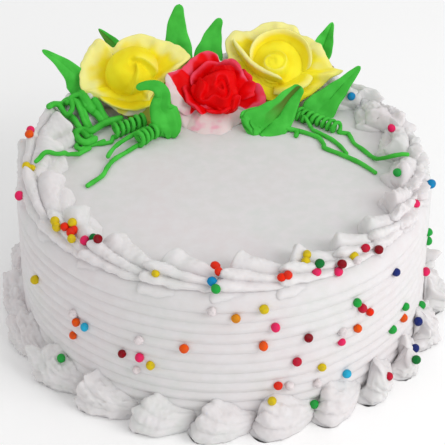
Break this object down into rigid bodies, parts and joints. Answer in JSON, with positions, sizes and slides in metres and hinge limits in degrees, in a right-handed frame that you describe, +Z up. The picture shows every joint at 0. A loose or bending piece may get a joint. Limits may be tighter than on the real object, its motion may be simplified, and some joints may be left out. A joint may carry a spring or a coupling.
{
  "type": "birthday cake without candles",
  "caption": "Round cream birthday cake: combed wall, shells piped round the top edge and foot, roses, leaves and tendrils on top. Display or serving food.",
  "frame": {"origin": "centre of the flat underside, on the surface the cake stands on", "axes": "+Z up, -Y towards the front, with the roses on the back half of the top"},
  "size_m": [0.2231, 0.2231, 0.1185],
  "materials": {
    "white_cream": "soft satin whipped cream",
    "yellow_cream": "satin cream, paler at the petal rims",
    "red_cream": "moist cream, red inside and white outside",
    "green_cream": "satin cream",
    "sugar_pearl": "glossy sugar shell in mixed colours"
  },
  "bodies": {
    "root": {"base_shell_01": "white_cream", "base_shell_02": "white_cream", "base_shell_03": "white_cream", "base_shell_04": "white_cream", "base_shell_05": "white_cream", "base_shell_06": "white_cream", "base_shell_07": "white_cream", "base_shell_08": "white_cream", "base_shell_09": "white_cream", "base_shell_10": "white_cream", "base_shell_11": "white_cream", "base_shell_12": "white_cream", "base_shell_13": "white_cream", "base_shell_14": "white_cream", "base_shell_15": "white_cream", "base_shell_16": "white_cream", "base_shell_17": "white_cream", "base_shell_18": "white_cream", "base_shell_19": "white_cream", "base_shell_20": "white_cream", "base_shell_21": "white_cream", "base_shell_22": "white_cream", "cake": "white_cream", "leaf_back_left": "green_cream", "leaf_back_middle": "green_cream", "leaf_back_right": "green_cream", "leaf_curled": "green_cream", "leaf_far_left": "green_cream", "leaf_front_right": "green_cream", "leaf_right": "green_cream", "leaf_tall": "green_cream", "rose_red": "red_cream", "rose_yellow_left": "yellow_cream", "rose_yellow_right": "yellow_cream", "tendril_left_front": "green_cream", "tendril_left_middle": "green_cream", "tendril_left_rope": "green_cream", "tendril_right_coil": "green_cream", "tendril_right_front": "green_cream", "top_shell_01": "white_cream", "top_shell_02": "white_cream", "top_shell_03": "white_cream", "top_shell_04": "white_cream", "top_shell_05": "white_cream", "top_shell_06": "white_cream", "top_shell_07": "white_cream", "top_shell_08": "white_cream", "top_shell_09": "white_cream", "top_shell_10": "white_cream", "top_shell_11": "white_cream", "top_shell_12": "white_cream", "top_shell_13": "white_cream", "top_shell_14": "white_cream", "top_shell_15": "white_cream", "top_shell_16": "white_cream", "top_shell_17": "white_cream", "top_shell_18": "white_cream", "top_shell_19": "white_cream", "top_shell_20": "white_cream", "top_shell_21": "white_cream"}
  },
  "joints": []
}
